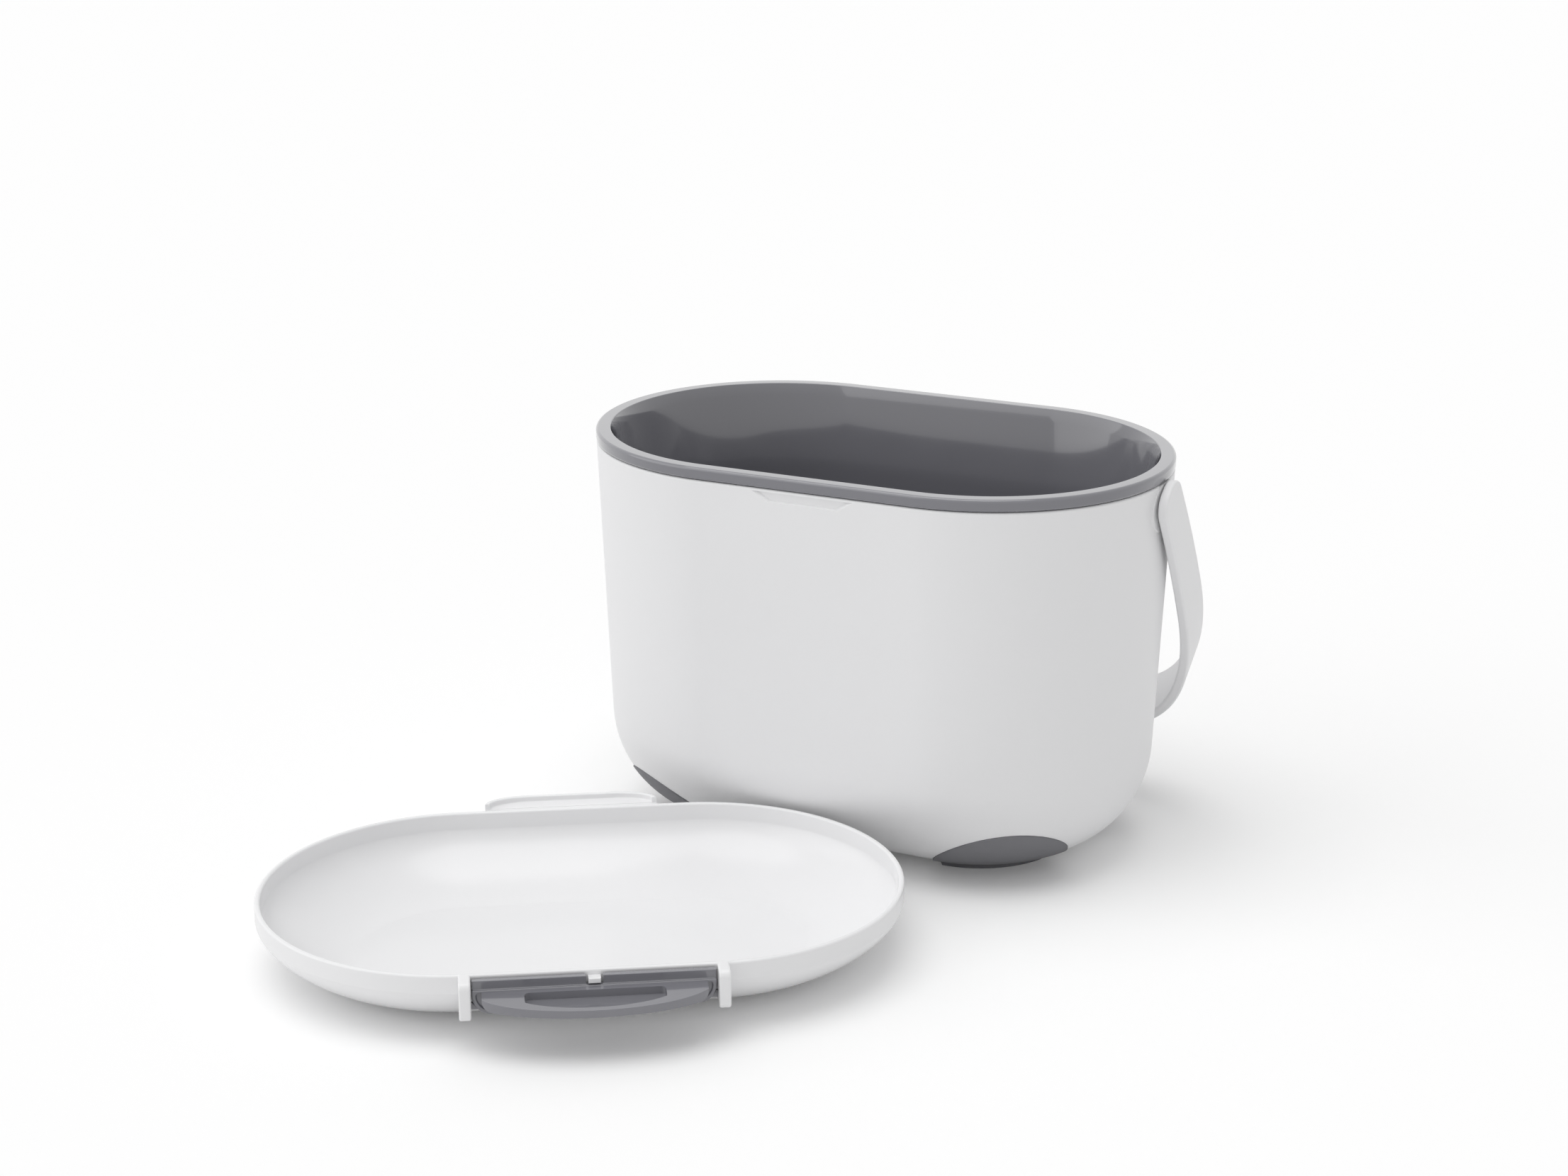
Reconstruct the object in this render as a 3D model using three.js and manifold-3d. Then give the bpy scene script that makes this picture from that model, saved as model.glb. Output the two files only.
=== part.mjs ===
// Compost caddy: an outer bucket with a bail handle and four soft feet, a lift-out liner,
// and a lid with a front latch that lies upside down on the table in front of the bucket.
// Lengths are in millimetres, +Z is up and +X runs along the bucket's long side.
// The origin is the centre of the bucket's flat underside.
import * as THREE from "three";
import { mergeVertices } from "three/addons/utils/BufferGeometryUtils.js";
import Module from "manifold-3d";

const wasm = await Module();
wasm.setup();

// Outer bucket
const rimLength = 250;
const rimWidth = 157.5;
const bucketHeight = 164.5;
const draftInset = 6.9;
const baseRadius = 43;
const bucketWall = 2.5;
const rimChamfer = 0.6;

// Shallow catch recess under the front rim
const catchTopWidth = 44;
const catchFootWidth = 30;
const catchHeight = 4.4;
const catchDepth = 1.2;
const catchDrop = 1.1;

// Handle pivots in the end walls
const pivotDrop = 9.8;
const pivotHoleRadius = 3.2;
const padRadius = 11;
const padProud = 0.5;
const studHeadRadius = 4.2;
const studHeadHeight = 2.4;
const runningGap = 0.3;

// Bail handle
const bailDepth = 147;
const bailCornerAcross = 51;
const bailCornerDeep = 86;
const bailCornerPower = 2.12;
const bailLean = 1.8;
const strapThickness = 4;
const gripThickness = 4.6;
const strapEndWidth = 20.4;
const strapWidth = 22.6;
const gripWidth = 24.6;
const strapEdge = 0.8;
const studSeatDepth = 2.4;

// Soft feet let into the rounded bottom edge
const footDrop = 2.2;
const footProud = 0.5;
const footInlay = 1.1;
const footTurn = THREE.MathUtils.degToRad(55.6);
const footReach = 48.8;
const footMiddleHeight = 4.6;
const footLean = THREE.MathUtils.degToRad(33.5);
const footRadius = 28;
const footPadRadius = 35.6;

// Lift-out liner
const lipWidth = 6.3;
const lipHeight = 5;
const lipProud = 0.3;
const linerWall = 1.8;
const collarTopInset = 6.6;
const collarFootInset = 10.9;
const collarHeight = 23;
const collarStep = 0.8;
const linerDraft = 8.6;
const linerFloorGap = 6;
const linerBaseRadius = 34;
const ribWidth = 3.2;
const ribHeight = 15;
const ribNose = 1.6;
const endRibTurn = THREE.MathUtils.degToRad(30);
const frontRibOffset = 3.4;

// Lid
const lidOverhang = 0.8;
const lidHeight = 29;
const lidSkirt = 7;
const lidCrownInset = 38;
const lidCrownPower = 1.5;
const lidWall = 2.2;
const tabWidth = 71;
const tabTaper = 13;
const tabReach = 9.6;
const tabThickness = 2.4;
const tabLipHeight = 2.3;
const tabLipWidth = 1.9;
const lidStandOff = 3.2;
const lidSideShift = 47.5;
const lidTurn = THREE.MathUtils.degToRad(32.4);

// Latch ears and nub on the lid
const earThickness = 4.5;
const earReach = 7.4;
const earDrop = 15;
const earRound = 2;
const earShoulder = 2.6;
const nubWidth = 4.2;
const nubDrop = 2.6;
const nubHeight = 1.4;

// Latch
const latchWidth = 89.2;
const latchPlate = 2.8;
const latchSideGap = 0.4;
const latchBackGap = 0.6;
const latchTopDrop = 1.9;
const latchNotchWidth = 6.1;
const latchNotchDepth = 2.3;
const latchPivotRise = 17.4;
const latchPivotRadius = 1.5;
const latchPinReach = 2.2;
const latchHeelRadius = 2.6;
const pullEndInset = 1.1;
const pullReach = 15;
const pullRootDrop = 2.4;
const pullDrop = 3.4;
const pullThickness = 3;
const pullRootThickness = 7;
const slotWidth = 51.5;
const slotReach = 6.5;
const slotStart = 2.5;
const slotDepth = 2.5;
const slotLipDepth = 0.4;

// Drawing accuracy and shared allowances
const endArcSteps = 16;
const filletSteps = 8;
const roundSteps = 20;
const cornerSteps = 10;
const mergeDistance = 0.0005;
const overrun = 2;
const quarter = Math.PI / 2;

// Finishes
const shellWhite = { color: 0xe9e9ea, roughness: 0.38, metalness: 0 };
const lidWhite = { color: 0xeeeeef, roughness: 0.28, metalness: 0 };
const linerGrey = { color: 0x6d6d73, roughness: 0.42, metalness: 0 };
const latchGrey = { color: 0x77777e, roughness: 0.25, metalness: 0 };
const footGrey = { color: 0x5b5b60, roughness: 0.75, metalness: 0 };

// Sizes that several pieces share
const rimHalfWidth = rimWidth / 2;
const straightHalf = rimLength / 2 - rimHalfWidth;
const pivotHeight = bucketHeight - pivotDrop;
const seatHeight = bucketHeight + runningGap;
const linerHalfWidth = rimHalfWidth + lipProud;
const linerTop = seatHeight + lipHeight;
const lidHalfWidth = linerHalfWidth + lidOverhang;
const pullWidth = latchWidth - pullEndInset * 2;

// A closed surface as a solid, its shared corners merged and its collapsed faces dropped
function solidOf(geometry, matrix = new THREE.Matrix4()) {
  const plain = new THREE.BufferGeometry();
  const source = geometry.index ? geometry.toNonIndexed() : geometry;
  plain.setAttribute("position", source.getAttribute("position").clone());
  plain.applyMatrix4(matrix);
  const merged = mergeVertices(plain, mergeDistance);
  const index = merged.index.array;
  const kept = [];
  for (let face = 0; face < index.length; face += 3) {
    const [a, b, c] = index.slice(face, face + 3);
    if (a !== b && b !== c && c !== a) kept.push(a, b, c);
  }
  const vertProperties = new Float32Array(merged.getAttribute("position").array);
  const triVerts = new Uint32Array(kept);
  return new wasm.Manifold(new wasm.Mesh({ numProp: 3, vertProperties, triVerts }));
}

function placed(x, y, z, turnX = 0, turnY = 0, turnZ = 0) {
  const turn = new THREE.Quaternion().setFromEuler(new THREE.Euler(turnX, turnY, turnZ));
  return new THREE.Matrix4().compose(new THREE.Vector3(x, y, z), turn, new THREE.Vector3(1, 1, 1));
}

function block(low, high) {
  const size = high.map((value, axis) => value - low[axis]);
  const middle = high.map((value, axis) => (value + low[axis]) / 2);
  return solidOf(new THREE.BoxGeometry(...size), placed(...middle));
}

// A cylinder along X from one place to another
function rodAlongX(radius, fromX, toX, y, z) {
  const rod = new THREE.CylinderGeometry(radius, radius, Math.abs(toX - fromX), roundSteps);
  return solidOf(rod, placed((fromX + toX) / 2, y, z, 0, 0, quarter));
}

// A flat outline in Y and Z, pushed along X between two places
function sidePrism(outline, fromX, toX) {
  const shape = new THREE.Shape(outline.map(([y, z]) => new THREE.Vector2(y, z)));
  const prism = new THREE.ExtrudeGeometry(shape, { depth: toX - fromX, bevelEnabled: false });
  const basis = new THREE.Matrix4().makeBasis(
    new THREE.Vector3(0, 1, 0),
    new THREE.Vector3(0, 0, 1),
    new THREE.Vector3(1, 0, 0),
  );
  return solidOf(prism, basis.premultiply(placed(fromX, 0, 0)));
}

// A flat outline in X and Y, pushed along Z between two heights
function planPrism(outline, fromZ, toZ) {
  const shape = new THREE.Shape(outline.map(([x, y]) => new THREE.Vector2(x, y)));
  const prism = new THREE.ExtrudeGeometry(shape, { depth: toZ - fromZ, bevelEnabled: false });
  return solidOf(prism, placed(0, 0, fromZ));
}

// Shares from 0 to 1 in equal steps
function shares(steps) {
  return Array.from({ length: steps + 1 }, (unused, step) => step / steps);
}

// A surface through rows of corners, each row a closed loop of equal length
function skin(rows, capped) {
  const corners = [];
  const face = (a, b, c) => corners.push(...a, ...b, ...c);
  for (let row = 0; row + 1 < rows.length; row += 1) {
    const low = rows[row];
    const high = rows[row + 1];
    low.forEach((corner, column) => {
      const next = (column + 1) % low.length;
      face(corner, low[next], high[next]);
      face(corner, high[next], high[column]);
    });
  }
  if (capped) {
    const first = rows[0];
    const last = rows[rows.length - 1];
    for (let column = 1; column + 1 < first.length; column += 1) {
      face(first[0], first[column + 1], first[column]);
      face(last[0], last[column], last[column + 1]);
    }
  }
  const geometry = new THREE.BufferGeometry();
  geometry.setAttribute("position", new THREE.Float32BufferAttribute(corners, 3));
  return geometry;
}

// A solid of stadium plan: each row is a half width and a height, from axis to axis
function stadiumSolid(profile) {
  const rows = profile.map(([halfWidth, height]) =>
    [1, -1].flatMap((side) =>
      shares(endArcSteps).map((share) => {
        const turn = Math.PI * share - side * quarter;
        return [
          side * straightHalf + halfWidth * Math.cos(turn),
          halfWidth * Math.sin(turn),
          height,
        ];
      }),
    ),
  );
  return solidOf(skin(rows, false));
}

function draftAt(height) {
  return (draftInset * (bucketHeight - height)) / bucketHeight;
}

// Rows of the bucket's rounded bottom edge, moved inwards by an offset
function bucketFootRows(offset) {
  const radius = baseRadius - offset;
  return shares(filletSteps).map((share) => {
    const turn = share * quarter;
    const height = offset + radius * (1 - Math.cos(turn));
    const inset = offset + draftAt(height) + radius * (1 - Math.sin(turn));
    return [rimHalfWidth - inset, height];
  });
}

// The bucket's outside as a full body, moved inwards by an offset
function bucketBody(offset) {
  return stadiumSolid([
    [0, offset],
    ...bucketFootRows(offset),
    [rimHalfWidth - offset, bucketHeight],
    [0, bucketHeight],
  ]);
}

function frontWallAt(height) {
  const lift = baseRadius - Math.min(height, baseRadius);
  const edge = baseRadius - Math.sqrt(baseRadius ** 2 - lift ** 2);
  return rimHalfWidth - draftAt(height) - edge;
}

// The round leaning space that one foot takes, grown by an allowance
function footZone(sideX, sideY, grown) {
  const radius = footRadius + grown;
  const zone = new THREE.CylinderGeometry(radius, radius, baseRadius * 2, roundSteps * 3);
  const turn = Math.atan2(sideY * Math.sin(footTurn), sideX * Math.cos(footTurn));
  const place = placed(sideX * straightHalf, 0, 0, 0, 0, turn)
    .multiply(placed(footReach, 0, footMiddleHeight, 0, -footLean, 0))
    .multiply(placed(0, 0, 0, quarter, 0, 0));
  return solidOf(zone, place);
}

function outerBucket() {
  let bucket = stadiumSolid([
    [0, 0],
    ...bucketFootRows(0),
    [rimHalfWidth - draftAt(bucketHeight - rimChamfer), bucketHeight - rimChamfer],
    [rimHalfWidth - rimChamfer, bucketHeight],
    [rimHalfWidth - bucketWall + rimChamfer, bucketHeight],
    [rimHalfWidth - bucketWall, bucketHeight - rimChamfer],
    ...bucketFootRows(bucketWall).reverse(),
    [0, bucketWall],
  ]);
  const padBody = bucketBody(-padProud);
  for (const side of [1, -1]) {
    const inside = side * (rimLength / 2 - bucketWall + rimChamfer);
    const outside = side * (rimLength / 2 + padProud + overrun);
    const pad = rodAlongX(padRadius, inside, outside, 0, pivotHeight);
    bucket = bucket.add(pad.intersect(padBody));
    const throughFrom = side * (rimLength / 2 - bucketWall - overrun);
    const hole = rodAlongX(pivotHoleRadius, throughFrom, outside, 0, pivotHeight);
    bucket = bucket.subtract(hole);
  }
  const catchTop = bucketHeight - catchDrop;
  const catchOutline = [
    [-catchTopWidth / 2, catchTop],
    [-catchFootWidth / 2, catchTop - catchHeight],
    [catchFootWidth / 2, catchTop - catchHeight],
    [catchTopWidth / 2, catchTop],
  ].map(([x, z]) => new THREE.Vector2(x, z));
  const catchCut = new THREE.ExtrudeGeometry(new THREE.Shape(catchOutline), {
    depth: catchDepth + overrun,
    bevelEnabled: false,
  });
  const catchPlace = placed(0, catchDepth - rimHalfWidth, 0, quarter, 0, 0);
  bucket = bucket.subtract(solidOf(catchCut, catchPlace));
  const seatCore = bucketBody(footInlay + runningGap);
  const seatRind = bucketBody(-overrun).subtract(seatCore);
  for (const sideX of [1, -1]) {
    for (const sideY of [1, -1]) {
      bucket = bucket.subtract(seatRind.intersect(footZone(sideX, sideY, runningGap)));
    }
  }
  return bucket;
}

// A soft foot: a lens of the bucket's bottom edge with a pad under it
function foot(sideX, sideY) {
  const zone = footZone(sideX, sideY, 0);
  const rind = bucketBody(-footProud).subtract(bucketBody(footInlay));
  const padHeight = footDrop + footInlay / 2;
  const padMiddle = padHeight / 2 - footDrop;
  const disc = new THREE.CylinderGeometry(footPadRadius, footPadRadius, padHeight, roundSteps * 3);
  const pad = solidOf(disc, placed(sideX * straightHalf, 0, padMiddle, quarter, 0, 0));
  return rind.add(pad).intersect(zone);
}

// How far the handle hangs back from upright, with its grip against the line of the back wall
function bailHangAngle() {
  const inner = bailDepth - gripThickness;
  const aside = gripWidth / 2 - strapEdge;
  const slope = draftInset / bucketHeight;
  const wall = rimHalfWidth + runningGap - draftAt(pivotHeight);
  const sineShare = inner + slope * aside;
  const cosineShare = slope * inner - aside;
  const reach = Math.hypot(sineShare, cosineShare);
  return Math.asin(wall / reach) - Math.atan2(cosineShare, sineShare);
}

// The handle's middle line in its own plane: how far across, how deep, its width and thickness
function bailStations() {
  const outerSpan = rimLength / 2 + padProud + runningGap + strapThickness;
  const armDepth = bailDepth - bailCornerDeep;
  const stations = [];
  const endHalf = strapEndWidth / 2;
  const capSteps = 5;
  for (let step = 1; step < capSteps; step += 1) {
    const turn = (quarter * step) / capSteps;
    stations.push({
      across: outerSpan,
      deep: -endHalf * Math.cos(turn),
      width: strapEndWidth * Math.sin(turn),
      thick: strapThickness,
    });
  }
  for (const share of [0, 1 / 2]) {
    stations.push({
      across: outerSpan - bailLean * share ** 2,
      deep: armDepth * share,
      width: strapEndWidth + (strapWidth - strapEndWidth) * share,
      thick: strapThickness,
    });
  }
  for (const share of shares(cornerSteps)) {
    const turn = share * quarter;
    const acrossShare = 1 - Math.max(Math.cos(turn), 0) ** (2 / bailCornerPower);
    const deepShare = Math.sin(turn) ** (2 / bailCornerPower);
    stations.push({
      across: outerSpan - bailLean - bailCornerAcross * acrossShare,
      deep: armDepth + bailCornerDeep * deepShare,
      width: strapWidth + (gripWidth - strapWidth) * share,
      thick: strapThickness + (gripThickness - strapThickness) * share,
    });
  }
  const mirrored = stations.map((station) => ({ ...station, across: -station.across }));
  return [...stations, ...mirrored.reverse()];
}

function bailHandle() {
  const stations = bailStations();
  const bailAngle = bailHangAngle();
  const rows = stations.map((station, place) => {
    const before = stations[Math.max(place - 1, 0)];
    const after = stations[Math.min(place + 1, stations.length - 1)];
    const along = new THREE.Vector2(after.across - before.across, after.deep - before.deep);
    along.normalize();
    const half = station.width / 2;
    const edge = Math.min(strapEdge, half / 2);
    const outline = [
      [0, half - edge],
      [0, edge - half],
      [edge, -half],
      [station.thick - edge, -half],
      [station.thick, edge - half],
      [station.thick, half - edge],
      [station.thick - edge, half],
      [edge, half],
    ];
    return outline.map(([inward, aside]) => {
      const across = station.across - along.y * inward;
      const deep = station.deep + along.x * inward;
      return [
        across,
        deep * Math.sin(bailAngle) + aside * Math.cos(bailAngle),
        pivotHeight - deep * Math.cos(bailAngle) + aside * Math.sin(bailAngle),
      ];
    });
  });
  let handle = solidOf(skin(rows, true));
  const innerFace = rimLength / 2 + padProud + runningGap;
  for (const side of [1, -1]) {
    const from = side * (innerFace - overrun);
    const to = side * (innerFace + studSeatDepth + runningGap);
    handle = handle.subtract(rodAlongX(pivotHoleRadius, from, to, 0, pivotHeight));
  }
  return handle;
}

// A domed stud: its head is inside the bucket, its shank turns in the wall and seats in the strap
function pivotStud(side) {
  const wallFace = rimLength / 2 - bucketWall - draftAt(pivotHeight - studHeadRadius);
  const wallBend = studHeadRadius * Math.tan(quarter / endArcSteps);
  const headBase = wallFace - wallBend - runningGap;
  const shankEnd = rimLength / 2 + padProud + runningGap + studSeatDepth;
  const shankRadius = pivotHoleRadius - runningGap;
  const dome = shares(filletSteps).map((share) => [
    studHeadRadius * Math.sin(share * quarter),
    headBase - studHeadHeight * Math.cos(share * quarter),
  ]);
  const profile = [...dome, [shankRadius, headBase], [shankRadius, shankEnd], [0, shankEnd]];
  const points = profile.map(([radius, along]) => new THREE.Vector2(radius, along));
  const stud = new THREE.LatheGeometry(points, roundSteps);
  const upright = placed(0, 0, pivotHeight, 0, 0, -side * quarter);
  return solidOf(stud, upright);
}

// Rows of the liner's outside below the lip, moved inwards by an offset
function linerRows(offset) {
  const collarFoot = seatHeight - collarHeight;
  const base = bucketWall + linerFloorGap + offset;
  const radius = linerBaseRadius - offset;
  const wallInset = collarFootInset + collarStep;
  const wallAt = (height) =>
    linerHalfWidth - offset - wallInset - (linerDraft * (collarFoot - height)) / collarFoot;
  const bottom = shares(filletSteps).map((share) => {
    const turn = share * quarter;
    const height = base + radius * (1 - Math.cos(turn));
    return [wallAt(height) - radius * (1 - Math.sin(turn)), height];
  });
  return [
    ...bottom,
    [linerHalfWidth - offset - wallInset, collarFoot - collarStep],
    [linerHalfWidth - offset - collarFootInset, collarFoot],
    [linerHalfWidth - offset - collarTopInset, seatHeight],
  ];
}

// A fin that stands the liner's collar off the bucket's wall
function linerRib(centreX, turn) {
  const wallReach = rimHalfWidth - bucketWall - draftAt(seatHeight - ribHeight);
  const outerReach = wallReach * Math.cos(quarter / endArcSteps) - runningGap;
  const innerReach = linerHalfWidth - collarFootInset - linerWall / 2;
  const outline = [
    [innerReach, seatHeight + lipHeight / 2],
    [innerReach, seatHeight - ribHeight],
    [outerReach - ribNose, seatHeight - ribHeight],
    [outerReach, seatHeight - ribHeight + ribNose],
    [outerReach, seatHeight + lipHeight / 2],
  ];
  const rib = sidePrism(outline, -ribWidth / 2, ribWidth / 2);
  const degrees = THREE.MathUtils.radToDeg(turn - quarter);
  return rib.rotate([0, 0, degrees]).translate([centreX, 0, 0]);
}

function liner() {
  const lipInner = linerHalfWidth - lipWidth;
  let shell = stadiumSolid([
    [0, bucketWall + linerFloorGap],
    ...linerRows(0),
    [linerHalfWidth, seatHeight],
    [linerHalfWidth, linerTop - rimChamfer],
    [linerHalfWidth - rimChamfer, linerTop],
    [0, linerTop],
  ]);
  for (const side of [1, -1]) {
    const endCentre = side * straightHalf;
    const outward = side === 1 ? 0 : Math.PI;
    for (const hand of [1, -1]) {
      shell = shell.add(linerRib(endCentre, outward + hand * endRibTurn));
      shell = shell.add(linerRib(endCentre + side * frontRibOffset, hand * quarter));
    }
  }
  const cavity = stadiumSolid([
    [0, bucketWall + linerFloorGap + linerWall],
    ...linerRows(linerWall),
    [lipInner, linerTop - rimChamfer],
    [lipInner + rimChamfer, linerTop],
    [lipInner + rimChamfer, linerTop + overrun],
    [0, linerTop + overrun],
  ]);
  return shell.subtract(cavity);
}

// Rows of the lid's crown from its flat top on the table to its skirt, moved inwards
function lidRows(offset) {
  const skirtFoot = lidHeight - lidSkirt;
  return shares(cornerSteps).map((share) => {
    const turn = share * quarter;
    const level = 1 - Math.cos(turn) ** (2 / lidCrownPower);
    const inset = 1 - Math.sin(turn) ** (2 / lidCrownPower);
    const height = offset + (skirtFoot - offset) * level;
    return [lidHalfWidth - offset - (lidCrownInset - offset) * inset, height];
  });
}

// Front of the lid in its own frame, where the latch lies
const lidFront = -lidHalfWidth;
const earInner = latchWidth / 2 + latchSideGap;
const latchBack = lidFront - latchBackGap;
const latchFront = latchBack - latchPlate;
const latchPivotY = latchFront + latchHeelRadius;

function lidShell() {
  let lid = stadiumSolid([[0, 0], ...lidRows(0), [lidHalfWidth, lidHeight], [0, lidHeight]]);
  const earFoot = lidHeight - earDrop;
  const earFront = latchFront - earReach + latchPlate;
  const earOutline = [
    [lidFront + lidCrownInset, earFoot],
    [lidFront + lidCrownInset, lidHeight],
    [earFront + earShoulder, lidHeight],
    [earFront, lidHeight - earShoulder],
    [earFront, earFoot + earRound],
    [earFront + earRound, earFoot],
  ];
  for (const side of [1, -1]) {
    const near = side * earInner;
    const far = side * (earInner + earThickness);
    const ear = sidePrism(earOutline, Math.min(near, far), Math.max(near, far));
    const holeEnd = side * (earInner + latchPinReach - latchSideGap + runningGap);
    const holeRadius = latchPivotRadius + runningGap;
    const hole = rodAlongX(holeRadius, near - side * overrun, holeEnd, latchPivotY, latchPivotRise);
    lid = lid.add(ear).subtract(hole);
  }
  const nubTop = lidHeight - nubDrop;
  lid = lid.add(
    block([-nubWidth / 2, latchFront, nubTop - nubHeight], [nubWidth / 2, lidFront + lidWall, nubTop]),
  );
  const tabOutline = (inset) => {
    const half = tabWidth / 2 - inset;
    const reach = lidHalfWidth + tabReach - inset;
    return [
      [-half, lidHalfWidth - lidWall],
      [half, lidHalfWidth - lidWall],
      [half, lidHalfWidth + tabReach / 4],
      [half - tabTaper / 3, reach - tabReach / 6],
      [half - tabTaper, reach],
      [tabTaper - half, reach],
      [tabTaper / 3 - half, reach - tabReach / 6],
      [-half, lidHalfWidth + tabReach / 4],
    ];
  };
  const tab = planPrism(tabOutline(0), lidHeight - tabThickness, lidHeight + tabLipHeight);
  const dish = planPrism(tabOutline(tabLipWidth), lidHeight, lidHeight + tabLipHeight + overrun);
  const overRim = block(
    [-tabWidth, 0, lidHeight],
    [tabWidth, lidHalfWidth + lidOverhang, lidHeight + tabLipHeight + overrun],
  );
  lid = lid.add(tab.subtract(dish).subtract(overRim));
  const cavity = stadiumSolid([
    [0, lidWall],
    ...lidRows(lidWall),
    [lidHalfWidth - lidWall, lidHeight + tabLipHeight + overrun],
    [0, lidHeight + tabLipHeight + overrun],
  ]);
  return lid.subtract(cavity);
}

function latch() {
  const half = latchWidth / 2;
  const top = lidHeight - latchTopDrop;
  const heel = latchPivotRise - latchHeelRadius;
  const plateOutline = [
    [latchBack, heel + latchHeelRadius / 2],
    [latchBack, top],
    [latchFront, top],
    [latchFront, heel + latchHeelRadius / 2],
    [latchFront + latchHeelRadius / 2, heel],
    [latchBack - latchHeelRadius / 4, heel],
  ];
  let body = sidePrism(plateOutline, -half, half);
  const rootTop = top - pullRootDrop;
  const edgeTop = rootTop - pullDrop;
  const pullOutline = [
    [latchFront + latchPlate / 2, rootTop],
    [latchFront, rootTop],
    [latchFront - pullReach, edgeTop],
    [latchFront - pullReach, edgeTop - pullThickness],
    [latchFront + latchPlate / 2, rootTop - pullRootThickness],
  ];
  const bowOutline = shares(roundSteps * 2).map((share) => [
    (pullWidth / 2) * Math.cos(Math.PI * share),
    latchFront - pullReach * Math.sin(Math.PI * share),
  ]);
  bowOutline.push([-pullWidth / 2, latchBack], [pullWidth / 2, latchBack]);
  const bow = planPrism(bowOutline, 0, lidHeight);
  const pull = sidePrism(pullOutline, -pullWidth / 2, pullWidth / 2);
  body = body.add(pull.intersect(bow));
  const surfaceAt = (reach) => rootTop - (pullDrop * reach) / pullReach;
  const slotEnd = slotStart + slotReach;
  const slotOutline = [
    [latchFront - slotStart, surfaceAt(slotStart) - slotDepth],
    [latchFront - slotStart, surfaceAt(slotStart) + overrun],
    [latchFront - slotEnd, surfaceAt(slotEnd) + overrun],
    [latchFront - slotEnd, surfaceAt(slotEnd) - slotLipDepth],
  ];
  body = body.subtract(sidePrism(slotOutline, -slotWidth / 2, slotWidth / 2));
  body = body.subtract(
    block(
      [-latchNotchWidth / 2, latchFront - overrun, top - latchNotchDepth],
      [latchNotchWidth / 2, latchBack + overrun, top + overrun],
    ),
  );
  const pinEnd = half + latchPinReach;
  return body.add(rodAlongX(latchPivotRadius, -pinEnd, pinEnd, latchPivotY, latchPivotRise));
}

function piece(name, solid, finish) {
  const mesh = solid.getMesh();
  const geometry = new THREE.BufferGeometry();
  geometry.setAttribute("position", new THREE.BufferAttribute(mesh.vertProperties, 3));
  geometry.setIndex(new THREE.BufferAttribute(mesh.triVerts, 1));
  geometry.computeVertexNormals();
  const made = new THREE.Mesh(geometry, new THREE.MeshStandardMaterial(finish));
  made.name = name;
  return made;
}

const caddy = new THREE.Group();
caddy.add(piece("outer_bucket", outerBucket(), shellWhite));
caddy.add(piece("bail_handle", bailHandle(), shellWhite));
caddy.add(piece("pivot_stud_right", pivotStud(1), shellWhite));
caddy.add(piece("pivot_stud_left", pivotStud(-1), shellWhite));
for (const [sideY, place] of [[-1, "front"], [1, "rear"]]) {
  for (const [sideX, hand] of [[1, "right"], [-1, "left"]]) {
    caddy.add(piece(`foot_${place}_${hand}`, foot(sideX, sideY), footGrey));
  }
}
caddy.add(piece("liner", liner(), linerGrey));

const lidGroup = new THREE.Group();
lidGroup.add(piece("lid", lidShell(), lidWhite));
lidGroup.add(piece("latch", latch(), latchGrey));
const lidReachBack = lidHalfWidth + straightHalf * Math.sin(lidTurn);
const wallBehindLid = frontWallAt(lidHeight - footDrop);
lidGroup.position.set(-lidSideShift, -(wallBehindLid + lidStandOff + lidReachBack), -footDrop);
lidGroup.rotation.z = lidTurn;
caddy.add(lidGroup);

export default caddy;
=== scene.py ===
import math

import bmesh
import bpy
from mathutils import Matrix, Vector


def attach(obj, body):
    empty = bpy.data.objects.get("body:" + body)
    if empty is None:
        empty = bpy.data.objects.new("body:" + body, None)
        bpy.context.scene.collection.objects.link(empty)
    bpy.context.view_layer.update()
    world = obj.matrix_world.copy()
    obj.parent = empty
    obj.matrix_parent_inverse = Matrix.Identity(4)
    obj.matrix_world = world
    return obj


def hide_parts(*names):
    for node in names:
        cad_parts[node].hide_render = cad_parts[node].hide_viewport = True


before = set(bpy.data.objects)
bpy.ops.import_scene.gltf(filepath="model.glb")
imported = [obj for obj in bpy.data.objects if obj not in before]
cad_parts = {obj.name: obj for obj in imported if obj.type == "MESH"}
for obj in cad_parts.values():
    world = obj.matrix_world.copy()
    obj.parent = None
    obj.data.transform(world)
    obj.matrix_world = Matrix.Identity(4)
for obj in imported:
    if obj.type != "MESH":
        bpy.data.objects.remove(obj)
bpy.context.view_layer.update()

# Outer bucket

# One moulded shell of white polypropylene, oval in plan, with a rounded bottom edge and a thin
# round-nosed rim. Each end wall has a raised pad with a hole for the handle's stud, the front
# has a shallow catch under the rim, and four seats in the bottom edge take the soft feet.
RIM_LENGTH = 250
RIM_WIDTH = 157.5
BUCKET_HEIGHT = 164.5
DRAFT_INSET = 6.9
BASE_RADIUS = 43
BUCKET_WALL = 2.5
BUCKET_NOSE = 1.05
CATCH_TOP_WIDTH = 46
CATCH_FOOT_WIDTH = 33
CATCH_HEIGHT = 4.4
CATCH_DEPTH = 1.2
CATCH_DROP = 1.1
CATCH_SLOPE = 2.4
PIVOT_DROP = 9.8
PIVOT_HEIGHT = BUCKET_HEIGHT - PIVOT_DROP
PIVOT_HOLE_RADIUS = 3.2
PAD_RADIUS = 11
PAD_PROUD = 0.5
PAD_ROOT = 0.8
FOOT_INLAY = 1.1
FOOT_TURN = math.radians(55.6)
FOOT_REACH = 48.8
FOOT_MIDDLE_HEIGHT = 4.6
FOOT_LEAN = math.radians(33.5)
FOOT_RADIUS = 28
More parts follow.
